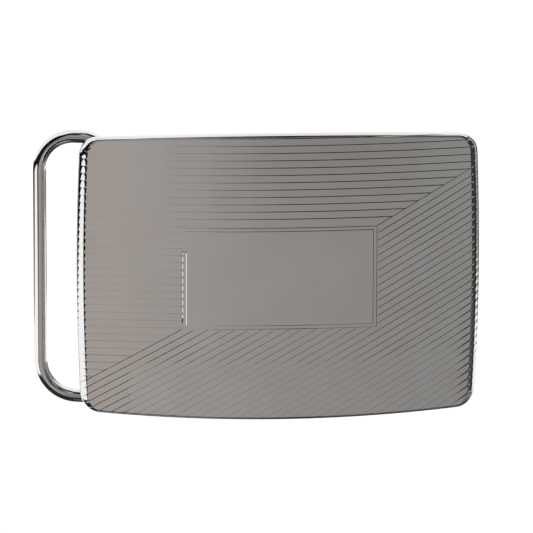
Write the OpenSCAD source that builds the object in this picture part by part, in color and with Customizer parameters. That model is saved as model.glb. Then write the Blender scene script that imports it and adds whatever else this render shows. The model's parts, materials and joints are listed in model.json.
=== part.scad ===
// Plate-style dress belt buckle for a 32 mm strap.
// A bowed face plate is backed by a thinner plate.  A wire bail swings in a tube
// at the left end and holds the strap's sewn end; a leaning hook near the right
// end enters the holes of the strap's free end.
//
// Frame: +X to the wearer's left along the belt, +Y from the face towards the
// wearer, +Z up.  The origin is the middle of the back plate's rear surface.

/* [Face plate] */
// Width of the face plate, end to end
plate_w = 54; // [53:0.5:56]
// Height of the face plate at its middle
plate_h = 39.3; // [38:0.1:41]
// How far each long edge bulges between its corners
long_edge_bulge = 0.9; // [0.5:0.1:1.2]
// How far each end edge bulges between its corners
end_edge_bulge = 0.5; // [0.2:0.1:0.6]
// Radius of the four corners
corner_r = 2.7; // [2.4:0.1:3.6]
// Thickness of the face plate, which is also the radius of its rolled ends
face_t = 1.4; // [1.2:0.1:1.6]
// Radius of the bow, measured at the front surface
bow_r = 136; // [125:1:180]

/* [Back plate] */
// Thickness of the back plate
back_t = 0.9; // [0.8:0.1:1.2]
// Distance from the edge of the face plate to the edge of the back plate
back_inset = 1.2; // [1:0.1:1.5]

/* [Bail] */
// Diameter of the bail's wire
wire_d = 1.8; // [1.6:0.1:2]
// Height of the bail between wire centres
bail_h = 36; // [35:0.1:36.5]
// Width of the bail between wire centres
bail_w = 10.2; // [10.2:0.1:11]
// Bend radius of the two outer corners, at the wire's centre
outer_bend_r = 4.8; // [4:0.1:5]
// Bend radius of the two corners beside the hinge, at the wire's centre
hinge_bend_r = 4.6; // [4.4:0.1:4.6]
// Angle of the bail behind the X axis at rest
bail_rest_angle = 13; // [8:0.1:25]
// Gap between the wire's two ends inside the hinge tube
bail_end_gap = 1; // [0.6:0.1:2]

/* [Hinge] */
// Distance of the hinge axis from the middle of the plate
hinge_x = 21.8; // [21.5:0.1:22.5]
// Outer diameter of the hinge tube
tube_d = 3.2; // [3:0.1:3.4]
// Length of the hinge tube
tube_l = 25.5; // [20:0.5:25.5]
// Radial clearance between the wire and the tube's bore
running_gap = 0.05; // [0.03:0.01:0.1]
// Thickness of the hinge leaf
leaf_t = 0.8; // [0.6:0.1:1]
// Height of the hinge leaf
leaf_h = 25; // [22:0.5:26]
// Reach of the hinge leaf from the tube towards the middle of the plate
leaf_reach = 6.4; // [6:0.1:8]
// Height between neighbouring leaf rivets
leaf_rivet_pitch = 9; // [7:0.5:9.5]

/* [Hook] */
// Distance of the hook's root from the middle of the plate
hook_x = 19; // [16:0.5:20]
// Diameter of the hook's shank
hook_d = 3; // [2.6:0.1:3.4]
// Lean of the hook towards the bail
hook_lean = 20; // [10:1:25]
// Length of the hook's straight shank above its boss
shank_l = 3.6; // [3:0.1:5]
// Width of the hook's base
base_w = 7.4; // [7:0.1:9]
// Height of the hook's base
base_h = 13; // [12:0.5:15]
// Thickness of the hook's base
base_t = 1; // [0.8:0.1:1.2]

/* [Rivets] */
// Diameter of a rivet's shank
rivet_d = 1.2; // [1:0.1:1.4]
// Diameter of a rivet's domed head
rivet_head_d = 2.2; // [2:0.1:2.4]
// Height of a rivet's domed head
rivet_head_h = 0.5; // [0.4:0.1:0.6]

/* [Hidden] */
$fn = 96;
EPS = 0.01;

// Bow: every plate and leaf is concentric with this upright axis behind the plate.
rear_r = bow_r - face_t - back_t;
bow_axis_y = rear_r;

// Outline: two long arcs and two end arcs, rounded where they meet.
long_arc_r = (pow(plate_w / 2, 2) + pow(long_edge_bulge, 2)) / (2 * long_edge_bulge);
end_h = plate_h - 2 * long_edge_bulge;
end_arc_r = (pow(end_h / 2, 2) + pow(end_edge_bulge, 2)) / (2 * end_edge_bulge);
long_centre = [0, plate_h / 2 - long_arc_r];
end_centre = [plate_w / 2 - end_arc_r, 0];
corner_centre = upper_meeting(long_centre, long_arc_r - corner_r,
                              end_centre, end_arc_r - corner_r);
corner_reach = 2 * corner_r;
// Each corner's rounding sits this far out, so that it crosses the edges cleanly.
corner_shift = 0.03;
// The rolled ends reach this far past the outline, which trims them to its arc.
end_trim = 0.1;

// Hinge.
wire_r = wire_d / 2;
tube_r = tube_d / 2;
tube_seat = 0.2;
hinge_rise = leaf_t + tube_r - tube_seat;
hinge_angle = -asin(hinge_x / (rear_r - hinge_rise));
hinge_y = bow_axis_y - (rear_r - hinge_rise) * cos(hinge_angle);
leaf_outer = 2.2;
leaf_corner_r = 1;
leaf_rivet_angle = hinge_angle + (leaf_reach - 2) / rear_r * 180 / PI;
leaf_rivet_heights = [-leaf_rivet_pitch, 0, leaf_rivet_pitch];

// Hook.
hook_angle = asin(hook_x / rear_r);
hook_r = hook_d / 2;
boss_r = 2.4;
boss_top = 1.9;
tenon_r = 1.1;
tenon_l = 1.2;
hook_rivet_z = base_h / 2 - base_w / 3;

// Rivets.
sink_r = 1;
sink_depth = 0.4;
// Rise of a bowed surface under the rim of a rivet's head.
head_lift = pow(rivet_head_d / 2, 2) / (2 * rear_r);

function unit(v) = v / norm(v);

// The crossing of two circles that lies in the upper right quadrant.
function upper_meeting(c1, r1, c2, r2) =
    let (d = c2 - c1,
         span = norm(d),
         along = (r1 * r1 - r2 * r2 + span * span) / (2 * span),
         across = sqrt(r1 * r1 - along * along),
         u = d / span,
         side = [-u[1], u[0]],
         a = c1 + along * u + across * side,
         b = c1 + along * u - across * side)
    (a[0] + a[1] > b[0] + b[1]) ? a : b;

// A column along the Y axis about a point of the front view.
module column(centre, r) {
    translate([centre[0], 0, centre[1]]) rotate([90, 0, 0])
        cylinder(r = r, h = 4 * plate_w, center = true, $fn = 720);
}

// What one corner loses, outside its rounding; sx and sz choose the corner.
module corner_cutter(inset, sx, sz) {
    long_normal = unit(corner_centre - long_centre);
    end_normal = unit(corner_centre - end_centre);
    reach = [[0, 0], end_normal, long_normal + end_normal, long_normal];
    difference() {
        rotate([90, 0, 0]) linear_extrude(height = 3 * plate_w, center = true)
            polygon([for (v = reach) [sx * (corner_centre[0] + corner_reach * v[0]),
                                      sz * (corner_centre[1] + corner_reach * v[1])]]);
        column([sx * (corner_centre[0] + corner_shift), sz * (corner_centre[1] + corner_shift)],
               corner_r - inset);
    }
}

// Trims its children to the plate's outline, drawn in by inset.
module trimmed(inset) {
    difference() {
        intersection() {
            children();
            column(long_centre, long_arc_r - inset);
            column(-long_centre, long_arc_r - inset);
            column(end_centre, end_arc_r - inset);
            column(-end_centre, end_arc_r - inset);
        }
        for (sx = [-1, 1], sz = [-1, 1]) corner_cutter(inset, sx, sz);
    }
}

// An upright cylinder about the axis of the bow.
module bow_cylinder(r) {
    translate([0, bow_axis_y, -plate_h]) cylinder(r = r, h = 2 * plate_h, $fn = 720);
}

// Places its children on the back plate's rear surface: their +Y leaves the plate.
module on_rear(angle) {
    translate([0, bow_axis_y, 0]) rotate([0, 0, angle]) translate([0, -rear_r, 0]) children();
}

// A cylinder along the local Y axis between two depths.
module y_cylinder(r, y0, y1) {
    translate([0, y0, 0]) rotate([-90, 0, 0]) cylinder(r = r, h = y1 - y0);
}

// Section of the face plate: a bowed strip with quarter-round ends.
module face_section() {
    inner_r = bow_r - face_t;
    end_x = plate_w / 2 - face_t + end_trim;
    difference() {
        union() {
            intersection() {
                circle(bow_r, $fn = 720);
                translate([-end_x, -bow_r]) square([2 * end_x, bow_r]);
            }
            for (side = [-1, 1])
                translate([side * end_x, -sqrt(inner_r * inner_r - end_x * end_x)])
                    circle(face_t);
        }
        circle(inner_r, $fn = 720);
    }
}

module face_plate() {
    color([0.78, 0.77, 0.75]) trimmed(0)
        translate([0, bow_axis_y, 0]) linear_extrude(height = 2 * plate_h, center = true)
            face_section();
}

// Places its children at each rivet of the hinge leaf.
module at_hinge_rivets() {
    on_rear(leaf_rivet_angle) for (z = leaf_rivet_heights) translate([0, 0, z]) children();
}

// Places its children at each rivet of the hook's base.
module at_hook_rivets() {
    on_rear(hook_angle) for (z = [-hook_rivet_z, hook_rivet_z]) translate([0, 0, z]) children();
}

// A shank with a countersunk head flush with the back plate's front surface.
module rivet_shank(end) {
    y_cylinder(rivet_d / 2, -back_t + EPS, end);
    translate([0, -back_t + EPS, 0]) rotate([-90, 0, 0])
        cylinder(r1 = sink_r, r2 = rivet_d / 2, h = sink_depth);
}

// A whole rivet through the back plate and a piece of the given thickness.
module rivet(grip) {
    head_r = rivet_head_d / 2;
    ball_r = (head_r * head_r + rivet_head_h * rivet_head_h) / (2 * rivet_head_h);
    rivet_shank(grip);
    translate([0, grip, 0]) intersection() {
        translate([0, rivet_head_h - ball_r, 0]) sphere(ball_r);
        y_cylinder(head_r, 0, rivet_head_h);
    }
}

module back_plate() {
    color([0.72, 0.71, 0.69]) difference() {
        trimmed(back_inset) intersection() {
            difference() {
                bow_cylinder(rear_r + back_t);
                bow_cylinder(rear_r);
            }
            translate([-plate_w, -plate_h / 2, -plate_h])
                cube([2 * plate_w, plate_h, 2 * plate_h]);
        }
        at_hinge_rivets() rivet_hole();
        at_hook_rivets() rivet_hole();
    }
}

// The room a rivet's shank and countersunk head need, open at both faces.
module rivet_hole() {
    y_cylinder(rivet_d / 2, -2 * back_t, 2 * back_t);
    translate([0, -back_t + EPS, 0]) rotate([-90, 0, 0])
        cylinder(r1 = sink_r, r2 = rivet_d / 2, h = sink_depth);
    y_cylinder(sink_r, -2 * back_t, -back_t + EPS);
}

// A rectangle with rounded corners, in the local XZ plane.
module leaf_outline() {
    x0 = -leaf_outer;
    w = leaf_outer + leaf_reach;
    r = leaf_corner_r;
    translate([x0 + r, -leaf_h / 2]) square([w - 2 * r, leaf_h]);
    translate([x0, -leaf_h / 2 + r]) square([w, leaf_h - 2 * r]);
    for (x = [x0 + r, x0 + w - r], z = [-leaf_h / 2 + r, leaf_h / 2 - r])
        translate([x, z]) circle(r);
}

// The leaf follows the bow; its groove seats the tube.
module hinge_leaf() {
    color([0.72, 0.71, 0.69]) difference() {
        intersection() {
            bow_cylinder(rear_r);
            on_rear(hinge_angle) rotate([90, 0, 0])
                linear_extrude(height = 4 * leaf_t, center = true) leaf_outline();
        }
        bow_cylinder(rear_r - leaf_t);
        on_rear(hinge_angle) translate([0, hinge_rise, -leaf_h])
            cylinder(r = tube_r, h = 2 * leaf_h);
        at_hinge_rivets() y_cylinder(rivet_d / 2, -leaf_t, 3 * leaf_t);
    }
}

module hinge_tube() {
    color([0.75, 0.74, 0.72]) translate([-hinge_x, hinge_y, -tube_l / 2]) difference() {
        cylinder(r = tube_r, h = tube_l);
        translate([0, 0, -1]) cylinder(r = wire_r + running_gap, h = tube_l + 2);
    }
}

// A quarter bend of the wire in the XZ plane about the origin, from angle start.
module wire_bend(bend_r, start) {
    rotate([90, 0, 0]) rotate([0, 0, start]) rotate_extrude(angle = 90)
        translate([bend_r, 0]) circle(wire_r);
}

// Upper half of the wire ring, in its own plane: X leaves the hinge axis.
module half_bail() {
    inner_top = bail_h / 2 - hinge_bend_r;
    outer_top = bail_h / 2 - outer_bend_r;
    arm = bail_w - hinge_bend_r - outer_bend_r;
    translate([0, 0, bail_end_gap / 2]) cylinder(r = wire_r, h = inner_top - bail_end_gap / 2);
    translate([hinge_bend_r, 0, inner_top]) wire_bend(hinge_bend_r, 90);
    translate([hinge_bend_r, 0, bail_h / 2]) rotate([0, 90, 0]) cylinder(r = wire_r, h = arm);
    translate([bail_w - outer_bend_r, 0, outer_top]) wire_bend(outer_bend_r, 0);
    translate([bail_w, 0, 0]) cylinder(r = wire_r, h = outer_top);
}

module bail() {
    color([0.78, 0.77, 0.75]) translate([-hinge_x, hinge_y, 0])
        rotate([0, 0, 180 - bail_rest_angle]) {
            half_bail();
            mirror([0, 0, 1]) half_bail();
        }
}

module hook_base() {
    end_r = base_w / 2;
    color([0.75, 0.74, 0.72]) difference() {
        intersection() {
            bow_cylinder(rear_r);
            union() {
                on_rear(hook_angle) {
                    translate([-end_r, -1, -base_h / 2 + end_r])
                        cube([base_w, 1 + base_t, base_h - base_w]);
                    for (z = [-1, 1]) translate([0, 0, z * (base_h / 2 - end_r)])
                        y_cylinder(end_r, -1, base_t);
                }
                hook_axis() translate([0, 0, -1]) cylinder(r = boss_r, h = 1 + boss_top);
            }
        }
        hook_axis() translate([0, 0, boss_top - tenon_l]) cylinder(r = tenon_r, h = 2 * tenon_l);
        at_hook_rivets() y_cylinder(rivet_d / 2, -base_t, 3 * base_t);
    }
}

// The hook's axis starts on the rear surface and leans towards the bail.
module hook_axis() {
    on_rear(hook_angle) rotate([0, 0, hook_lean]) rotate([-90, 0, 0]) children();
}

module hook_post() {
    color([0.78, 0.77, 0.75]) hook_axis() {
        translate([0, 0, boss_top - tenon_l]) cylinder(r = tenon_r, h = tenon_l);
        translate([0, 0, boss_top]) cylinder(r = hook_r, h = shank_l);
        translate([0, 0, boss_top + shank_l]) sphere(hook_r);
    }
}

module hinge_rivets() {
    color([0.7, 0.69, 0.67]) at_hinge_rivets() rivet(leaf_t + head_lift);
}

module hook_rivets() {
    color([0.7, 0.69, 0.67]) at_hook_rivets() rivet(base_t);
}

face_plate();
back_plate();
hinge_leaf();
hinge_tube();
hinge_rivets();
bail();
hook_base();
hook_post();
hook_rivets();
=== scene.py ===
import json
import math

import bpy
import numpy as np
from mathutils import Matrix, Vector


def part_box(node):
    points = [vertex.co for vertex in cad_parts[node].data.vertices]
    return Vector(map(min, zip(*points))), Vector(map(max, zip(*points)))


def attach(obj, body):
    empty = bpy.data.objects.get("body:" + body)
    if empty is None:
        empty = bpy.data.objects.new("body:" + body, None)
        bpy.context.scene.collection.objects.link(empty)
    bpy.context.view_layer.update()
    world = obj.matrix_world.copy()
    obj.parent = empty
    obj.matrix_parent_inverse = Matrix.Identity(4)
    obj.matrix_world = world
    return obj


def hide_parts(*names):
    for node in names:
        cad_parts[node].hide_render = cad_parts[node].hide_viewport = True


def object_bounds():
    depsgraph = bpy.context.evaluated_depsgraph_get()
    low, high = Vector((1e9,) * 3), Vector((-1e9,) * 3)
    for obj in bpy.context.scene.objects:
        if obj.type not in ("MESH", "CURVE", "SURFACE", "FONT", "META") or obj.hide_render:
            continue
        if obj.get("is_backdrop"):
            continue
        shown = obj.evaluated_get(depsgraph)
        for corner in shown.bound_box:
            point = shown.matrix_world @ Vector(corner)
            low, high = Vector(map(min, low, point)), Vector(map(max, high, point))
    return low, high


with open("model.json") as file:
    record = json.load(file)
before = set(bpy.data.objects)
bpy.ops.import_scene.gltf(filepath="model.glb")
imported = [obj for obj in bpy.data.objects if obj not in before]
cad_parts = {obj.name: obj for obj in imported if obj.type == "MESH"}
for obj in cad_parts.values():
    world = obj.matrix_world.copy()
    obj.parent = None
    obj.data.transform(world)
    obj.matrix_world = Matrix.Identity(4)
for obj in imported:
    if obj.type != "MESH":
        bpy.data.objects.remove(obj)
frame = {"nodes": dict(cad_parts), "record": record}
cad_box = [list(corner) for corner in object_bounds()]

MM = 0.001
record = frame["record"]
face_lo, face_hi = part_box("face_plate")
bail_lo, bail_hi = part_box("bail")
joint = next(j for j in record["behaviour"]["joints"] if j["name"] == "bail_swing")

# ---------------------------------------------------------------- camera
# Angles are in degrees, distances and the aim in metres, the lens in millimetres.
TARGET = Vector((0.0, 0.0, 0.0))
CAM_EL, CAM_AZ, CAM_ROLL, CAM_DIST = 15.2, -3.66, 0.22, 0.80
LENS = 404.2
SHIFT_X, SHIFT_Y = -0.0231, 0.0144


def make_camera():
    data = bpy.data.cameras.new("camera")
    cam = bpy.data.objects.new("camera", data)
    bpy.context.scene.collection.objects.link(cam)
    data.sensor_width = 36.0
    data.lens = LENS
    data.clip_start, data.clip_end = 0.01, 50.0
    data.shift_x, data.shift_y = SHIFT_X, SHIFT_Y
    el, az = math.radians(CAM_EL), math.radians(CAM_AZ)
    fwd = Vector((-math.sin(az) * math.cos(el), math.cos(az) * math.cos(el), -math.sin(el)))
    right = Vector((math.cos(az), math.sin(az), 0.0))
    up = right.cross(fwd)
    turn = math.radians(CAM_ROLL)
    right, up = (right * math.cos(turn) + up * math.sin(turn),
                 up * math.cos(turn) - right * math.sin(turn))
    m = Matrix((right, up, -fwd)).transposed().to_4x4()
    m.translation = TARGET - fwd * CAM_DIST
    cam.matrix_world = m
    bpy.context.scene.camera = cam


make_camera()


# ---------------------------------------------------------------- materials
CLOUD_SCALE = 180.0
HAIR_DEPTH = 0.00001
# Most of a noise texture's values lie between these two.
NOISE_LOW, NOISE_HIGH = 0.3, 0.7
# Where the painted shade on the face begins and where it is full, in millimetres: up the plate,
# from its left end and from its right end. The face's colour is darkened there in place of a darker
# reflection.
SHADE_UP, SHADE_FROM_LEFT, SHADE_FROM_RIGHT = (2, 19), (-18, 2), (25, 12)


def link(tree, a, out, b, inp):
    tree.links.new(a.outputs[out], b.inputs[inp])


def noise(tree, coords, scale, stretch, detail):
    mapping = tree.nodes.new("ShaderNodeMapping")
    mapping.inputs["Scale"].default_value = stretch
    link(tree, coords, "Object", mapping, "Vector")
    tex = tree.nodes.new("ShaderNodeTexNoise")
    tex.inputs["Scale"].default_value = scale
    tex.inputs["Detail"].default_value = detail
    link(tree, mapping, "Vector", tex, "Vector")
    return tex


def spread(tree, tex, low, high):
    """A noise texture's values stretched between two others."""
    node = tree.nodes.new("ShaderNodeMapRange")
    node.inputs["From Min"].default_value = NOISE_LOW
    node.inputs["From Max"].default_value = NOISE_HIGH
    node.inputs["To Min"].default_value = low
    node.inputs["To Max"].default_value = high
    link(tree, tex, "Fac", node, "Value")
    return node.outputs["Result"]


def fade(tree, value, start, end):
    """A smooth 0 to 1 between two places on an object's own axis, in millimetres."""
    node = tree.nodes.new("ShaderNodeMapRange")
    node.interpolation_type = "SMOOTHSTEP"
    node.inputs["From Min"].default_value = start * MM
    node.inputs["From Max"].default_value = end * MM
    tree.links.new(value, node.inputs["Value"])
    return node.outputs["Result"]


def calculate(tree, operation, first, second):
    """A math node of one socket with another socket or a number."""
    node = tree.nodes.new("ShaderNodeMath")
    node.operation = operation
    tree.links.new(first, node.inputs[0])
    if isinstance(second, float):
        node.inputs[1].default_value = second
    else:
        tree.links.new(second, node.inputs[1])
    return node.outputs["Value"]


def painted_top_shade(tree, coords, depth):
    """Painted shade: the colour darkens from the plate's middle to its upper edge, standing in for
    a darker reflection there.
    """
    split = tree.nodes.new("ShaderNodeSeparateXYZ")
    link(tree, coords, "Object", split, "Vector")
    up = fade(tree, split.outputs["Z"], *SHADE_UP)
    from_left = fade(tree, split.outputs["X"], *SHADE_FROM_LEFT)
    from_right = fade(tree, split.outputs["X"], *SHADE_FROM_RIGHT)
    shade_amount = calculate(tree, "MULTIPLY", up, -depth)
    shade_amount = calculate(tree, "MULTIPLY", from_left, shade_amount)
    shade_amount = calculate(tree, "MULTIPLY", from_right, shade_amount)
    return calculate(tree, "ADD", shade_amount, 1.0)


def metal(name, colour, rough, rough_var, grain, stretch, bump, tint=0.03, painted_shade=0.0):
    """Plated metal: fine hairlines along one direction, cloudy wear and, where asked, a painted
    shade towards the upper edge.
    """
    mat = bpy.data.materials.new(name)
    mat.use_nodes = True
    tree = mat.node_tree
    bsdf = tree.nodes["Principled BSDF"]
    coords = tree.nodes.new("ShaderNodeTexCoord")
    bsdf.inputs["Metallic"].default_value = 1.0
    hair = noise(tree, coords, grain, stretch, 3.0)
    cloud = noise(tree, coords, CLOUD_SCALE, (1, 1, 1), 5.0)
    rough_hair = spread(tree, hair, rough - rough_var, rough + rough_var)
    rough_cloud = spread(tree, cloud, -0.5 * rough_var, rough_var)
    total = calculate(tree, "ADD", rough_hair, rough_cloud)
    tree.links.new(total, bsdf.inputs["Roughness"])
    ramp = tree.nodes.new("ShaderNodeValToRGB")
    ramp.color_ramp.elements[0].position = NOISE_LOW
    ramp.color_ramp.elements[1].position = NOISE_HIGH
    dark = [c * (1 - tint * (1 + 0.5 * i)) for i, c in enumerate(colour)]
    ramp.color_ramp.elements[0].color = (*dark, 1)
    ramp.color_ramp.elements[1].color = (*colour, 1)
    link(tree, cloud, "Fac", ramp, "Fac")
    link(tree, ramp, "Color", bsdf, "Base Color")
    # Painted shade: the base colour is darkened towards the plate's upper edge.
    if painted_shade > 0:
        scale = tree.nodes.new("ShaderNodeVectorMath")
        scale.operation = "SCALE"
        link(tree, ramp, "Color", scale, "Vector")
        tree.links.new(painted_top_shade(tree, coords, painted_shade), scale.inputs["Scale"])
        link(tree, scale, "Vector", bsdf, "Base Color")
    relief = tree.nodes.new("ShaderNodeBump")
    relief.inputs["Strength"].default_value = bump
    relief.inputs["Distance"].default_value = HAIR_DEPTH
    link(tree, hair, "Fac", relief, "Height")
    link(tree, relief, "Normal", bsdf, "Normal")
    return mat


POLISHED = (0.86, 0.85, 0.84)
# The face's colour carries a painted shade that darkens it towards its upper edge.
face_metal = metal("face_metal", POLISHED, rough=0.05, rough_var=0.015, grain=2500.0,
                   stretch=(3, 1, 0.05), bump=0.02, painted_shade=0.14)
wire_metal = metal("wire_metal", POLISHED, rough=0.08, rough_var=0.02, grain=3000.0,
                   stretch=(1, 1, 0.1), bump=0.02)
back_metal = metal("back_metal", (0.50, 0.49, 0.475), rough=0.30, rough_var=0.07, grain=3500.0,
                   stretch=(0.03, 1, 1), bump=0.25, tint=0.10)
fitting_metal = metal("fitting_metal", (0.60, 0.59, 0.575), rough=0.20, rough_var=0.06,
                      grain=3500.0, stretch=(1, 1, 0.05), bump=0.15, tint=0.08)


def assign(obj, mat):
    if obj.data.materials:
        for i in range(len(obj.data.materials)):
            obj.data.materials[i] = mat
    else:
        obj.data.materials.append(mat)


SHARP_ANGLE, BEVEL_SEGMENTS = 35, 3


def soften(obj, width):
    """Rounds a stamped part's sharp edges, as tumbling leaves them. The width is in millimetres."""
    bevel = obj.modifiers.new("soft_edges", "BEVEL")
    bevel.width = width * MM
    bevel.segments = BEVEL_SEGMENTS
    bevel.limit_method = "ANGLE"
    bevel.angle_limit = math.radians(SHARP_ANGLE)


# ---------------------------------------------------------------- face plate
# The face is laid out flat, as a sheet, in millimetres: x along the belt and z up.
W = (face_hi[0] - face_lo[0]) / MM
H = (face_hi[2] - face_lo[2]) / MM
FRONT_Y = face_lo[1] / MM
BOW_R = 136.0
THICK = 1.4
LONG_BULGE, END_BULGE, CORNER_R = 0.9, 0.5, 2.7
# Radius of the rolled ends and of the eased long edges. A quarter turn laid out flat is longer
# than its radius by UNROLL times that radius.
ROLL_END, ROLL_LONG = 1.12, 0.4
UNROLL = math.pi / 2 - 1

# The quarter outline is an arc for the long edge, an arc for the end and a corner between them.
long_r = ((W / 2) ** 2 + LONG_BULGE ** 2) / (2 * LONG_BULGE)
end_h = H - 2 * LONG_BULGE
end_r = ((end_h / 2) ** 2 + END_BULGE ** 2) / (2 * END_BULGE)
long_c = np.array([0, H / 2 - long_r])
end_c = np.array([W / 2 - end_r, 0])


def corner_centre():
    """The point that is one corner radius inside both arcs."""
    r1, r2 = long_r - CORNER_R, end_r - CORNER_R
    d = end_c - long_c
    span = np.hypot(*d)
    along = (r1 * r1 - r2 * r2 + span * span) / (2 * span)
    across = math.sqrt(r1 * r1 - along * along)
    u = d / span
    side = np.array([-u[1], u[0]])
    a, b = long_c + along * u + across * side, long_c + along * u - across * side
    return a if a.sum() > b.sum() else b


corner_c = corner_centre()
angle_long = math.atan2(*(corner_c - long_c)[::-1])
angle_end = math.atan2(*(corner_c - end_c)[::-1])


def outline_point(angle, out=0.0):
    """A point of the quarter outline whose outward normal has that angle, moved out by out."""
    n = np.array([math.cos(angle), math.sin(angle)])
    if angle <= angle_end:
        return end_c + (end_r + out) * n
    if angle >= angle_long:
        return long_c + (long_r + out) * n
    return corner_c + (CORNER_R + out) * n


def roll_radius(angle):
    """The radius blends from the end's to the long edge's round the corner."""
    t = np.clip((angle - angle_end) / (angle_long - angle_end), 0, 1)
    t = t * t * (3 - 2 * t)
    return ROLL_END + (ROLL_LONG - ROLL_END) * t


def edge_field(x, z):
    """Signed distance outside the outline, outward normal and roll radius, per sheet point."""
    sx, sz = np.where(x < 0, -1.0, 1.0), np.where(z < 0, -1.0, 1.0)
    ax, az = np.abs(x), np.abs(z)
    vl = np.stack([ax - long_c[0], az - long_c[1]])
    ve = np.stack([ax - end_c[0], az - end_c[1]])
    vc = np.stack([ax - corner_c[0], az - corner_c[1]])
    nl, ne = np.hypot(*vl), np.hypot(*ve)
    nc = np.maximum(np.hypot(*vc), 1e-9)
    dl, de, dc = nl - long_r, ne - end_r, nc - CORNER_R
    ac = np.arctan2(vc[1], vc[0])
    in_corner = (ac > angle_end) & (ac < angle_long)
    use_long = ~in_corner & (dl > de)
    dist = np.where(in_corner, dc, np.where(use_long, dl, de))
    n = np.where(in_corner, vc / nc, np.where(use_long, vl / nl, ve / ne))
    ang = np.where(in_corner, ac, np.where(use_long, math.pi / 2, 0.0))
    return dist, n[0] * sx, n[1] * sz, roll_radius(ang)


def base_surface(x, z):
    """The plate's bowed face with its edges rolled back, without the engraving."""
    dist, nx, nz, r = edge_field(x, z)
    e = np.maximum(UNROLL * r - dist, 0)
    phi = np.minimum(e / r, math.pi / 2)
    shift = np.where(e < r * math.pi / 2, -dist - r * (1 - np.cos(phi)), 0.0)
    fx, fz = x + nx * shift, z + nz * shift
    drop = r * (1 - np.sin(phi))
    y = FRONT_Y + BOW_R - np.sqrt(BOW_R ** 2 - fx ** 2) + drop
    return np.stack([fx, y, fz], axis=-1)


def normals_of(surface, x, z, h):
    """Unit normals from differences over a step h."""
    du = surface(x + h, z) - surface(x - h, z)
    dv = surface(x, z + h) - surface(x, z - h)
    n = np.cross(du, dv)
    return n / np.maximum(np.linalg.norm(n, axis=-1, keepdims=True), 1e-12)


# The cartouche's half width and half height, and the seams at 30 degrees from two of its corners.
CART_X, CART_Z = 13.03, 7.0
COS_S, SIN_S = math.cos(math.radians(30)), math.sin(math.radians(30))
B_RIGHT = CART_Z * COS_S - CART_X * SIN_S
B_LEFT = -B_RIGHT
SEAM_HALF, SEAM_CUT = 0.05, 0.022

# Family a is the horizontal lines and family b the slanted ones, parallel to the seams.
PITCH_A, PITCH_B = 1.002, B_LEFT - B_RIGHT
A_ORIGIN = CART_Z + 1.18
FLUTE, CUT_W = 0.012, 0.058
# Where a flute is shallowest, as a share of the pitch.
CROWN = 0.45
# How steep the two walls of a cut are, as depth over width.
WALL_NEAR, WALL_FAR = 0.613, 0.542
# Share of its width at which a cut also becomes less steep.
SHALLOW = 0.4
# How far outside the cartouche the two families start and reach full depth.
A_START, B_START = (0, 0.06), (0.1, 0.22)

# The lines are worn: they lose this share of their width per millimetre, the horizontal ones
# towards the left and the slanted ones downwards, down to a least share. Towards the left end the
# least share is larger, and low at the right the slanted lines lose more.
WEAR = 0.075
A_WEAR_X, A_LEAST, A_LOW_LEFT = -3, 0.1, 0.45
B_WEAR_Z, B_LEAST, B_LEFT_END, B_LOW_RIGHT = -5, 0.42, 0.25, 0.4
GONE = 0.02
# Places over which the wear changes: low on the plate, towards its left and towards its right.
A_LOW, A_LEFT = (-8, -11), (-15, -19)
B_LOW, B_FAR_LEFT, B_FAR_RIGHT, B_RIGHT_END = (-8, -13), (-19, -22), (13, 20), (25.2, 23.7)
# The cuts run out between these places, where the left end rolls back.
RUN_OUT, RUN_OUT_LEAST = (-26.3, -26.0), 0.03

# The border is two lines, each with a steep outer wall and a flank that slopes up to the middle.
# The flanks' widths and slopes are those at the left, right, top and bottom of the cartouche.
BORDER_GAP, BORDER_WALL = 0.47, 0.03
BORDER_FLANKS = (0.11, 0.04, 0.06, 0.04)
BORDER_SLOPES = (0.44, 0.44, 0.36, 0.44)
# At the left the border fades out upwards, and its outer line is cut into dashes.
LEFT_FADE, LEFT_LEAST = (4.2, 3.4), 0.12
TOP_FADE, TOP_LEAST = (-CART_X, -CART_X + 9), 0.3
DASH, DASH_LEAST = (0.14, 0.19), 0.1


def rise(value, start, end):
    """0 at start, 1 at end and straight between them."""
    return np.clip((value - start) / (end - start), 0, 1)


def flute(t):
    return FLUTE * ((t - CROWN) / max(CROWN, 1 - CROWN)) ** 2


def profile(t, pitch, worn):
    """Depth across one band: a low flute between two narrow cuts. t runs 0 to 1."""
    w = CUT_W * worn / pitch
    steep = np.clip(worn / SHALLOW, 0, 1)
    near = flute(w) + steep * WALL_NEAR * (w - t) * pitch
    far = flute(1 - w) + steep * WALL_FAR * (t - 1 + w) * pitch
    return np.where(t > 1 - w, far, np.where(t < w, near, flute(t)))


def band_place(value, pitch):
    """Where a value lies across its band, 0 to 1."""
    t = value / pitch
    return t - np.floor(t)


def cart_distance(x, z):
    return np.maximum(np.abs(x) - CART_X, np.abs(z) - CART_Z)


def groove(d, flank, slope):
    """One border line: a steep outer wall, then a flank that rises towards the middle."""
    deep = slope * flank
    wall = deep * np.clip(d / BORDER_WALL, 0, 1)
    return np.where(d < BORDER_WALL, wall, deep * np.clip(1 - (d - BORDER_WALL) / flank, 0, 1))


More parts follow.
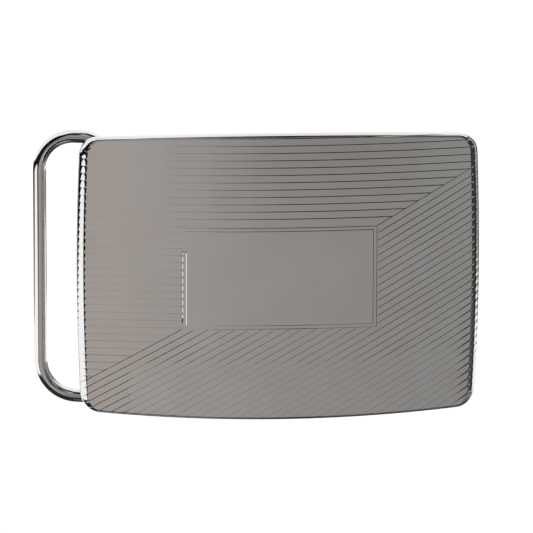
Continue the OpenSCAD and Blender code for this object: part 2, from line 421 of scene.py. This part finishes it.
def border_depth(x, z):
    sides = np.stack([x + CART_X, CART_X - x, CART_Z - z, z + CART_Z])
    side = np.argmin(sides, axis=0)
    at_left, at_top = side == 0, side == 2
    d = np.min(sides, axis=0)
    flank, slope = np.choose(side, BORDER_FLANKS), np.choose(side, BORDER_SLOPES)
    worn = np.where(at_left, np.maximum(rise(z, *LEFT_FADE), LEFT_LEAST),
                    np.where(at_top, np.maximum(rise(x, *TOP_FADE), TOP_LEAST), 1.0))
    t = band_place(z - A_ORIGIN, PITCH_A)
    dash = np.maximum(rise(np.minimum(t, 1 - t), *DASH), DASH_LEAST)
    outer = np.where(at_left, dash, 1.0) * groove(d, flank, slope)
    return worn * (outer + groove(d - BORDER_GAP, flank, slope))


def left_end(x):
    return np.maximum(rise(x, *RUN_OUT), RUN_OUT_LEAST)


def lines_a(x, z):
    low_left = A_LOW_LEFT * rise(z, *A_LOW) * rise(x, *A_LEFT)
    worn = np.clip(1 + WEAR * (x - A_WEAR_X), A_LEAST + low_left, 1) * left_end(x)
    # The last line above the cartouche gives way to the border's own line.
    worn = np.where((x > -CART_X) & (np.abs(z - CART_Z) < PITCH_A / 2), GONE, worn)
    return profile(band_place(z - A_ORIGIN, PITCH_A), PITCH_A, worn)


def lines_b(x, z):
    low_right = rise(x, *B_FAR_RIGHT) * rise(z, *B_LOW) * rise(x, *B_RIGHT_END)
    least = B_LEAST + B_LEFT_END * rise(x, *B_FAR_LEFT)
    worn = np.clip(1 + WEAR * (z - B_WEAR_Z), least, 1) * (1 - B_LOW_RIGHT * low_right)
    across = z * COS_S - x * SIN_S - B_RIGHT
    return profile(band_place(across, PITCH_B), PITCH_B, worn * left_end(x))


def region_a(x, z):
    across = z * COS_S - x * SIN_S
    from_seam = np.abs(np.where(x > 0, across - B_RIGHT, across - B_LEFT))
    depth = lines_a(x, z) * rise(cart_distance(x, z), *A_START)
    near = rise(from_seam, SEAM_HALF, 0)
    return depth * (1 - near) + SEAM_CUT * near


def region_b(x, z):
    return lines_b(x, z) * rise(cart_distance(x, z), *B_START)


DEPTH = {"a": region_a, "b": region_b, "cartouche": border_depth}


# Steps for the normals of the smooth plate and of the engraving, in millimetres.
BASE_STEP, CUT_STEP = 1e-3, 4e-4
# How near a point counts as lying on a slice, and how near two points count as one.
ON_SLICE, SAME_POINT = 1e-7, 1e-5
# The smallest piece of the sheet that is kept, in square millimetres, and how far a corner's
# normal is taken towards its polygon's middle.
SMALLEST_AREA, INSET = 1e-7, 0.04
# The rear is cut into upright strips of this width, out to this far from the middle.
REAR_STEP, REAR_END = 1.0, 26.0
# Which way the sheet's computed normal points: it has to leave the face, towards -Y.
probe = normals_of(base_surface, np.array([0.0]), np.array([0.0]), BASE_STEP)[0]
OUT = 1.0 if probe[1] < 0 else -1.0


def engraved(kind):
    depth = DEPTH[kind]

    def surface(x, z):
        n = normals_of(base_surface, x, z, BASE_STEP)
        return base_surface(x, z) - n * depth(x, z)[..., None] * OUT
    return surface


def slice_poly(poly, a, b, offsets):
    """Pieces of a convex polygon between successive lines a*x + b*z = offset."""
    pieces = []
    rest = poly
    for off in offsets:
        if not rest:
            break
        vals = [a * p[0] + b * p[1] - off for p in rest]
        if min(vals) >= -ON_SLICE:
            continue
        if max(vals) <= ON_SLICE:
            break
        below, above = [], []
        for i, p in enumerate(rest):
            q, vp, vq = rest[(i + 1) % len(rest)], vals[i], vals[(i + 1) % len(rest)]
            if vp <= 0:
                below.append(p)
            if vp >= 0:
                above.append(p)
            if (vp < 0 < vq) or (vq < 0 < vp):
                t = vp / (vp - vq)
                m = (p[0] + t * (q[0] - p[0]), p[1] + t * (q[1] - p[1]))
                below.append(m)
                above.append(m)
        if len(below) > 2:
            pieces.append(below)
        rest = above if len(above) > 2 else None
    if rest:
        pieces.append(rest)
    return pieces


def keep(poly, a, b, off):
    """The part of a convex polygon where a*x + b*z > off."""
    out = []
    for i, p in enumerate(poly):
        q = poly[(i + 1) % len(poly)]
        vp, vq = a * p[0] + b * p[1] - off, a * q[0] + b * q[1] - off
        if vp >= 0:
            out.append(p)
        if (vp < 0 < vq) or (vq < 0 < vp):
            t = vp / (vp - vq)
            out.append((p[0] + t * (q[0] - p[0]), p[1] + t * (q[1] - p[1])))
    return out


# Points along the quarter outline's end, corner and long edge.
END_POINTS, CORNER_POINTS, LONG_POINTS = 60, 50, 90


def quarter_angles():
    return np.concatenate([np.linspace(0, angle_end, END_POINTS),
                           np.linspace(angle_end, angle_long, CORNER_POINTS)[1:],
                           np.linspace(angle_long, math.pi / 2, LONG_POINTS)[1:]])


def sheet_outline(unrolled=True):
    """The plate's outline, or the longer outline of the sheet before its edges are rolled."""
    quarter = []
    for angle in quarter_angles():
        out = UNROLL * float(roll_radius(angle)) if unrolled else 0.0
        quarter.append(tuple(outline_point(angle, out)))
    loop = quarter + [(-x, z) for x, z in quarter[::-1][1:]]
    return loop + [(-x, -z) for x, z in quarter[1:]] + [(x, -z) for x, z in quarter[::-1][1:-1]]


# The sheet is sliced where its surface bends: coarsely over the bow, closer near the edges and
# finely over the rolls. Each pair is a first and a last slice, counted outwards from the middle.
FLAT_X, COLUMN = 24.0, 1.2
NEAR_END, END_ROLL = (24.4, 25.4), (25.5, W / 2 + 0.9)
FLAT_Z = H / 2 - LONG_BULGE - CORNER_R
NEAR_LONG, LONG_ROLL = (FLAT_Z, H / 2 - 1.5), (H / 2 - 1.4, H / 2 + 0.25)
NEAR_SLICES, END_SLICES, LONG_SLICES = 4, 26, 24
# Places across one band, as shares of the pitch, where its flute is sliced.
FLUTE_STEPS = [0.2, 0.35, 0.5, 0.65, 0.8]
# Slices that follow the fade at the top of the cartouche's left border, and the bands whose
# dashes are sliced there.
FADE_STEPS, DASH_BANDS = [3.4, 3.8, 4.1], range(-13, 4)


def column_lines():
    bow = np.arange(-FLAT_X, FLAT_X + COLUMN / 2, COLUMN)
    end = np.concatenate([np.linspace(*NEAR_END, NEAR_SLICES), np.linspace(*END_ROLL, END_SLICES)])
    return sorted(set(np.round(np.concatenate([bow, end, -end]), 5)))


def edge_lines():
    edge = np.concatenate([np.linspace(*NEAR_LONG, NEAR_SLICES),
                           np.linspace(*LONG_ROLL, LONG_SLICES)])
    return sorted(np.concatenate([edge, -edge]))


def family(pitch, origin, low, high):
    """Every slice along one family of lines: the cuts' bottoms and walls, and the flutes."""
    w = CUT_W / pitch
    steps = [0, w / 2, w] + FLUTE_STEPS + [1 - w, 1 - w / 2]
    first, last = math.floor((low - origin) / pitch), math.ceil((high - origin) / pitch)
    return [origin + (k + step) * pitch for k in range(first, last + 1) for step in steps]


def refine(region, direction, lines, extra):
    """A region of the sheet cut by columns, by its own lines and, near the edges, by rows."""
    parts = slice_poly(region, 1, 0, column_lines())
    for a, b, offsets in extra + [(*direction, lines)]:
        parts = [piece for part in parts for piece in slice_poly(part, a, b, offsets)]
    pieces = []
    for part in parts:
        at_edge = max(abs(z) for _, z in part) > FLAT_Z
        pieces.extend(slice_poly(part, 0, 1, edge_lines()) if at_edge else [part])
    return pieces


def line_regions():
    """The two regions of horizontal lines and the two of slanted lines round the cartouche."""
    sheet = sheet_outline()
    level, slant = (0, 1), (-SIN_S, COS_S)
    above_seam = [(*slant, [B_RIGHT + SEAM_HALF])]
    left_seam = [(*slant, [B_LEFT + SEAM_HALF])]
    a_lines = family(PITCH_A, A_ORIGIN, -H / 2 - 1, H / 2 + 1)
    b_lines = family(PITCH_B, B_RIGHT, -45, 10)
    top = keep(keep(sheet, 0, 1, CART_Z), *slant, B_RIGHT)
    left = keep(keep(keep(sheet, -1, 0, CART_X), 0, -1, -CART_Z), *slant, B_LEFT)
    right = keep(keep(sheet, 1, 0, CART_X), SIN_S, -COS_S, -B_RIGHT)
    bottom = keep(keep(keep(sheet, -1, 0, -CART_X), 0, -1, CART_Z), SIN_S, -COS_S, -B_LEFT)
    yield "a", refine(top, level, a_lines, above_seam + [(0, 1, [CART_Z + A_START[1]])])
    yield "a", refine(left, level, a_lines, left_seam + [(1, 0, [-CART_X - A_START[1]])])
    yield "b", refine(right, slant, b_lines, [(1, 0, [CART_X + d for d in B_START])])
    yield "b", refine(bottom, slant, b_lines, [(0, 1, [-CART_Z - d for d in B_START[::-1]])])


def cartouche_regions():
    """Frames of four strips along the border's walls and flanks, then the blank middle."""
    steps = [0, BORDER_WALL] + sorted({BORDER_WALL + w for w in BORDER_FLANKS})
    cuts = steps + [BORDER_GAP + c for c in steps]
    dashes = [A_ORIGIN + (k + side * d) * PITCH_A
              for k in DASH_BANDS for side in (-1, 1) for d in DASH]
    dashes = sorted(dashes + FADE_STEPS)
    for outer, inner in zip(cuts, cuts[1:]):
        (x0, z0), (x1, z1) = [(CART_X - c, CART_Z - c) for c in (outer, inner)]
        yield "cartouche", slice_poly([(-x0, -z0), (-x0, z0), (-x1, z1), (-x1, -z1)], 0, 1, dashes)
        for strip in ([(-x0, z0), (x0, z0), (x1, z1), (-x1, z1)],
                      [(x0, z0), (x0, -z0), (x1, -z1), (x1, z1)],
                      [(x0, -z0), (-x0, -z0), (-x1, -z1), (x1, -z1)]):
            yield "cartouche", slice_poly(strip, 1, 0, column_lines())
    x, z = CART_X - cuts[-1], CART_Z - cuts[-1]
    yield "cartouche", slice_poly([(-x, -z), (x, -z), (x, z), (-x, z)], 1, 0, column_lines())


def area(poly):
    return 0.5 * sum(poly[i][0] * poly[(i + 1) % len(poly)][1]
                     - poly[(i + 1) % len(poly)][0] * poly[i][1] for i in range(len(poly)))


def clean(poly):
    """The polygon without repeated points."""
    out = []
    for p in poly:
        if not out or math.dist(p, out[-1]) > SAME_POINT:
            out.append(p)
    if len(out) > 1 and math.dist(out[0], out[-1]) <= SAME_POINT:
        out.pop()
    return out


def face_polygons():
    """Counter-clockwise polygons of the laid-out sheet, by kind of engraving."""
    by_kind = {}
    for kind, pieces in [*line_regions(), *cartouche_regions()]:
        for poly in map(clean, pieces):
            if len(poly) > 2 and abs(area(poly)) >= SMALLEST_AREA:
                by_kind.setdefault(kind, []).append(poly if area(poly) > 0 else poly[::-1])
    return by_kind


def face_mesh():
    """The engraved sheet's points, polygons and one normal for each polygon's corner."""
    verts, index, faces, corner_normals = [], {}, [], []
    for kind, polys in face_polygons().items():
        flat = np.array([p for poly in polys for p in poly])
        centre = np.concatenate([np.repeat(np.mean(poly, axis=0)[None], len(poly), 0)
                                 for poly in polys])
        surface = engraved(kind)
        placed = surface(flat[:, 0], flat[:, 1])
        # A corner's normal is taken just inside its own polygon, so that the walls stay crisp.
        inside = flat + (centre - flat) * INSET
        normals = normals_of(surface, inside[:, 0], inside[:, 1], CUT_STEP) * OUT
        i = 0
        for poly in polys:
            face, face_normals = [], []
            for _ in poly:
                key = (round(flat[i][0], 4), round(flat[i][1], 4))
                if key not in index:
                    index[key] = len(verts)
                    verts.append(placed[i])
                if index[key] not in face:
                    face.append(index[key])
                    face_normals.append(normals[i])
                i += 1
            if len(face) > 2:
                faces.append(face)
                corner_normals.extend(face_normals)
    return verts, faces, corner_normals


def mesh_object(name, verts, faces, normals=None):
    """A smooth-shaded object from points in millimetres."""
    mesh = bpy.data.meshes.new(name)
    mesh.from_pydata([tuple(float(c) * MM for c in v) for v in verts], [], faces)
    mesh.polygons.foreach_set("use_smooth", [True] * len(mesh.polygons))
    if normals is not None:
        mesh.normals_split_custom_set([tuple(float(c) for c in n) for n in normals])
    mesh.update()
    obj = bpy.data.objects.new(name, mesh)
    bpy.context.scene.collection.objects.link(obj)
    return obj


def rear_y(x):
    return FRONT_Y + BOW_R - math.sqrt(BOW_R ** 2 - x * x) + THICK


def make_face():
    """The engraved sheet, closed by a wall round its edge and by the plate's bowed rear."""
    verts, faces, normals = face_mesh()
    rim = np.array(sheet_outline())
    flat = sheet_outline(unrolled=False)
    start, n = len(verts), len(flat)
    verts.extend(base_surface(rim[:, 0], rim[:, 1]))
    verts.extend(np.array([x, rear_y(x), z]) for x, z in flat)
    for i in range(n):
        j = (i + 1) % n
        faces.append([start + i, start + n + i, start + n + j, start + j])
        for k in (i, i, j, j):
            _, nx, nz, _ = edge_field(np.array([flat[k][0]]), np.array([flat[k][1]]))
            normals.append(np.array([nx[0], 0.0, nz[0]]))
    for piece in slice_poly(flat, 1, 0, list(np.arange(-REAR_END, REAR_END + 0.1, REAR_STEP))):
        poly = clean(piece)
        poly = poly[::-1] if area(poly) > 0 else poly
        faces.append(list(range(len(verts), len(verts) + len(poly))))
        verts.extend(np.array([x, rear_y(x), z]) for x, z in poly)
        normals.extend(np.array([-x / BOW_R, math.sqrt(1 - (x / BOW_R) ** 2), 0.0])
                       for x, _ in poly)
    return mesh_object("engraved_face", verts, faces, normals)


face = make_face()
assign(face, face_metal)
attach(face, "plate")
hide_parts("face_plate")


# ---------------------------------------------------------------- bail
# Bends of the wire at the hinge and at the outer rod, and half the gap between its two ends.
HINGE_BEND, OUTER_BEND, END_GAP = 4.6, 4.8, 0.5
# Points round the wire, round a bend, and along the straight parts at the hinge and the outer rod.
AROUND, BEND_POINTS, HINGE_POINTS, ROD_POINTS = 48, 26, 12, 14


def sweep(name, path, radius):
    """A round wire along a list of points, in millimetres, with flat ends."""
    path = np.array(path, float)
    n = len(path)
    tangents = np.gradient(path, axis=0)
    tangents /= np.linalg.norm(tangents, axis=1, keepdims=True)
    # Any direction across the wire will do to start with.
    side = np.cross(tangents[0], [0.3, 0.8, 0.1])
    side /= np.linalg.norm(side)
    verts, faces = [], []
    for i in range(n):
        side = side - tangents[i] * side.dot(tangents[i])
        side /= np.linalg.norm(side)
        up = np.cross(tangents[i], side)
        for k in range(AROUND):
            a = 2 * math.pi * k / AROUND
            verts.append(path[i] + radius * (side * math.cos(a) + up * math.sin(a)))
    for i in range(n - 1):
        for k in range(AROUND):
            j = (k + 1) % AROUND
            faces.append([i * AROUND + k, i * AROUND + j, (i + 1) * AROUND + j,
                          (i + 1) * AROUND + k])
    faces.append(list(range(AROUND))[::-1])
    faces.append([(n - 1) * AROUND + k for k in range(AROUND)])
    return mesh_object(name, verts, faces)


def bend(centre, radius, rising):
    """A quarter circle in the bail's own plane: up into the arm, or down into the outer rod."""
    angles = np.linspace(0, math.pi / 2, BEND_POINTS)
    if rising:
        return [(centre[0] - radius * math.cos(a), centre[1] + radius * math.sin(a))
                for a in angles]
    return [(centre[0] + radius * math.sin(a), centre[1] + radius * math.cos(a))
            for a in angles]


def bail_path():
    """The wire's centre line and radius: from one end in the tube round to the other."""
    hinge = np.array(joint["pos_m"][:2]) / MM
    wire_r = bail_hi[0] / MM - hinge[0]
    half = (bail_hi[2] - bail_lo[2]) / 2 / MM - wire_r
    # The outer rod's centre is one wire radius inside the box on its -X and +Y sides.
    rod = np.array([bail_lo[0] / MM + wire_r, bail_hi[1] / MM - wire_r])
    width = np.linalg.norm(rod - hinge)
    direction = (rod - hinge) / width
    upper = [(0, z) for z in np.linspace(END_GAP, half - HINGE_BEND, HINGE_POINTS)]
    upper += bend((HINGE_BEND, half - HINGE_BEND), HINGE_BEND, True)[1:]
    upper += bend((width - OUTER_BEND, half - OUTER_BEND), OUTER_BEND, False)
    upper += [(width, z) for z in np.linspace(half - OUTER_BEND, 0, ROD_POINTS)[1:]]
    whole = upper + [(out, -z) for out, z in upper[::-1][1:]]
    points = [(hinge[0] + direction[0] * out, hinge[1] + direction[1] * out, z)
              for out, z in whole]
    return points, wire_r


bail = sweep("bail_wire", *bail_path())
assign(bail, wire_metal)
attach(bail, "bail")
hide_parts("bail")


# ---------------------------------------------------------------- back and fittings
# Each carried piece's finish and how far its sharp edges are rounded.
CARRIED = {"back_plate": (back_metal, 0.16), "hinge_leaf": (fitting_metal, 0.12),
           "hinge_tube": (fitting_metal, 0.08), "hinge_rivets": (fitting_metal, 0.10),
           "hook_base": (fitting_metal, 0.16), "hook_post": (wire_metal, 0.0),
           "hook_rivets": (fitting_metal, 0.10)}
for node, (finish, rounding) in CARRIED.items():
    assign(frame["nodes"][node], finish)
    if rounding > 0:
        soften(frame["nodes"][node], rounding)


# ---------------------------------------------------------------- studio
# The cards are seen only in the metal. Azimuths and elevations are in degrees, with azimuth 0 at
# -Y, in front of the face, and 90 at +X. Distances, places and heights are in metres.
FLOOR_Z, FLOOR_HALF, FLOOR_LIGHT = -0.20, 6.0, 1.05
FRONT_DIST, SIDE_DIST, NEAR_DIST = 0.42, 0.44, 0.18
HOOD_DIST, FILL_DIST = 0.47, 0.45
# Heights shared by the upright cards, and places shared by the cards near the floor.
CARD_LOW, CARD_HIGH, EYE_LOW = -0.26, 0.02, -0.108
GROUND_Z, GROUND_SIDE_X = -0.13, 0.15
LEFT_GAP = (-47, -33, -20)
RIGHT_GREY, RIGHT_BLACK = (26, 50, 74), (74, 83, 92)
RIGHT_LIGHT, RIGHT_REAR = (92, 107, 122), (122, 136, 152)
DOME_STEPS = 12


def emitter(name, stops, strength=1.0):
    """A card's light: one colour, or a ramp over the card's width from -X to +X."""
    mat = bpy.data.materials.new(name)
    mat.use_nodes = True
    tree = mat.node_tree
    tree.nodes.clear()
    out = tree.nodes.new("ShaderNodeOutputMaterial")
    emit = tree.nodes.new("ShaderNodeEmission")
    emit.inputs["Strength"].default_value = strength
    link(tree, emit, "Emission", out, "Surface")
    if len(stops) == 1:
        emit.inputs["Color"].default_value = (*stops[0][1], 1)
        return mat
    coords = tree.nodes.new("ShaderNodeTexCoord")
    sep = tree.nodes.new("ShaderNodeSeparateXYZ")
    ramp = tree.nodes.new("ShaderNodeValToRGB")
    while len(ramp.color_ramp.elements) < len(stops):
        ramp.color_ramp.elements.new(0.5)
    for element, (place, colour) in zip(ramp.color_ramp.elements, stops):
        element.position = place
        element.color = (*colour, 1)
    link(tree, coords, "Generated", sep, "Vector")
    link(tree, sep, "X", ramp, "Fac")
    link(tree, ramp, "Color", emit, "Color")
    return mat


def grey(v):
    return (v, v, v)


def plain(name, v, strength=1.0):
    return emitter(name, [(0, grey(v))], strength)


def staged(name, verts, faces, mat):
    mesh = bpy.data.meshes.new(name)
    mesh.from_pydata(verts, [], faces)
    obj = bpy.data.objects.new(name, mesh)
    bpy.context.scene.collection.objects.link(obj)
    obj.data.materials.append(mat)
    obj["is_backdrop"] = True
    return obj


def card(name, verts, faces, mat):
    """A studio card that only lights the metal and shows in it."""
    obj = staged(name, verts, faces, mat)
    obj.visible_camera = False
    obj.visible_shadow = False


def arc_card(name, edges, dist, mat, centre_x=0.0):
    """An upright curved card, given by (azimuth, bottom, top) for each of its vertical lines."""
    verts, faces = [], []
    for az, z0, z1 in edges:
        a = math.radians(az)
        verts += [(centre_x + dist * math.sin(a), -dist * math.cos(a), z) for z in (z0, z1)]
    for i in range(len(edges) - 1):
        faces.append((2 * i, 2 * i + 2, 2 * i + 3, 2 * i + 1))
    card(name, verts, faces, mat)


def side_card(name, azimuths, bottom, top, mat):
    arc_card(name, [(az, bottom, top) for az in azimuths], SIDE_DIST, mat)


def dome_card(name, az0, az1, el0, el1, dist, mat):
    """A patch of a sphere around the buckle, between two azimuths and two elevations."""
    steps = DOME_STEPS
    verts, faces = [], []
    for i in range(steps + 1):
        a = math.radians(az0 + (az1 - az0) * i / steps)
        for k in range(steps + 1):
            e = math.radians(el0 + (el1 - el0) * k / steps)
            verts.append((dist * math.sin(a) * math.cos(e), -dist * math.cos(a) * math.cos(e),
                          dist * math.sin(e)))
    for i in range(steps):
        for k in range(steps):
            j = i * (steps + 1) + k
            faces.append((j, j + steps + 1, j + steps + 2, j + 1))
    card(name, verts, faces, mat)


def ground_card(name, corners, z, mat):
    """A level card under the buckle, from its corners' x and y."""
    card(name, [(x, y, z) for x, y in corners], [tuple(range(len(corners)))], mat)


def rectangle(x0, x1, y0, y1):
    return [(x0, y0), (x1, y0), (x1, y1), (x0, y1)]


floor = rectangle(-FLOOR_HALF, FLOOR_HALF, -FLOOR_HALF, FLOOR_HALF)
staged("floor", [(x, y, FLOOR_Z) for x, y in floor], [(0, 1, 2, 3)],
       plain("floor_white", 1.0, FLOOR_LIGHT))

# The card that the whole face reflects, warmer and lighter towards the left.
TONES = [(0.183, (0.401, 0.370, 0.350)), (0.362, (0.363, 0.343, 0.333)),
         (0.507, (0.329, 0.311, 0.297)), (0.67, (0.303, 0.286, 0.281)),
         (0.84, (0.278, 0.275, 0.270))]
arc_card("front_card", [(-34, CARD_LOW, -0.110), (-31, CARD_LOW, -0.108), (-26, CARD_LOW, -0.104),
                        (-24.3, CARD_LOW, -0.098), (-23.9, CARD_LOW, CARD_HIGH),
                        (0, CARD_LOW, CARD_HIGH), (29.5, CARD_LOW, CARD_HIGH),
                        (31, -0.14, CARD_HIGH), (33, -0.13, CARD_HIGH), (34.5, -0.12, CARD_HIGH)],
         FRONT_DIST, emitter("front_grey", TONES))

# Dark flags and greys at the left, for the rolled left end and the bail.
dark, black = plain("hood_dark", 0.02), plain("black_flag", 0.004)
soft_grey = plain("soft_grey", 0.22)
side_card("left_gap", LEFT_GAP, -0.145, -0.06, black)
side_card("left_gap_low", LEFT_GAP, CARD_LOW, -0.145, soft_grey)
side_card("left_gap_high", LEFT_GAP, -0.06, CARD_HIGH, soft_grey)
arc_card("left_hood", [(-150, -0.056, -0.01), (-118, -0.052, 0.01), (-101, -0.038, 0.02),
                       (-85, -0.020, 0.04), (-67, -0.011, 0.2), (-50, -0.020, 0.2),
                       (-35, -0.038, 0.2)], NEAR_DIST, black, face_lo[0])

# The same at the right, for the rolled right end and its dark band.
side_card("right_grey_low", RIGHT_GREY, CARD_LOW, EYE_LOW, plain("right_grey_light", 0.07))
side_card("right_grey_high", RIGHT_GREY, EYE_LOW, 0.1, plain("right_high_light", 0.04))
side_card("right_black", RIGHT_BLACK, CARD_LOW, 0.3, dark)
side_card("right_light", RIGHT_LIGHT, -0.115, 0.3, plain("right_light_grey", 0.32))
side_card("right_rear", RIGHT_REAR, -0.13, 0.3, plain("right_rear_grey", 0.06))

# A dark hood overhead, which the walls that face upwards reflect, and patches that light some.
dome_card("top_hood", -58, 77, 3, 88, HOOD_DIST, dark)
dome_card("top_fill", -30, 5, 36, 60, FILL_DIST,
          emitter("fill_light", [(0.46, grey(0.42)), (1.0, grey(0.03))]))
dome_card("low_fill", -48, -5, 2.5, 22, FILL_DIST, plain("low_fill_light", 0.30))
dome_card("low_grey", -5, 70, 2.5, 20, FILL_DIST, plain("low_grey_light", 0.10))
dome_card("slant_fill", -50, 4, 23, 34.5, FILL_DIST,
          emitter("slant_fill_light", [(0.04, grey(0.02)), (0.19, grey(0.24)),
                                       (0.52, grey(0.24)), (0.71, grey(0.10))]))
dome_card("right_slant_fill", 7, 44, 30, 35.5, FILL_DIST, plain("right_slant_light", 0.55))

# The same below, for the walls that face downwards. The side card carries on from the dark one,
# and the patches lie a little above it.
ground_card("ground_dark", rectangle(-0.22, GROUND_SIDE_X, -0.25, 0.12), GROUND_Z, dark)
ground_card("ground_side", rectangle(GROUND_SIDE_X, 0.30, -0.25, 0.12), GROUND_Z,
            emitter("ground_side_light", [(0.0, grey(0.10)), (1.0, grey(0.30))]))
ground_card("ground_fill", rectangle(-0.06, 0.01, -0.09, -0.022), GROUND_Z + 0.002,
            emitter("ground_fill_light", [(0.55, grey(0.34)), (1.0, grey(0.03))]))
ground_card("ground_slant_fill", [(0.018, -0.085), (0.06, -0.085), (0.092, -0.05),
                                  (0.074, -0.030), (0.05, -0.049), (0.022, -0.055)],
            GROUND_Z + 0.003, plain("ground_slant_light", 0.24))
ground_card("ground_slant_soft", [(0.06, -0.085), (0.14, -0.085), (0.14, 0.0), (0.07, 0.0)],
            GROUND_Z + 0.0015, plain("ground_slant_grey", 0.10))

world = bpy.data.worlds.new("studio")
bpy.context.scene.world = world
world.use_nodes = True
background = world.node_tree.nodes["Background"]
background.inputs["Color"].default_value = (1, 1, 1, 1)
background.inputs["Strength"].default_value = 1.0
bpy.context.scene.view_settings.view_transform = "Standard"

visual_box = [list(corner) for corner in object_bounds()]
({"cad": [[float(c) for c in p] for p in cad_box],
           "visual": [[float(c) for c in p] for p in visual_box]})
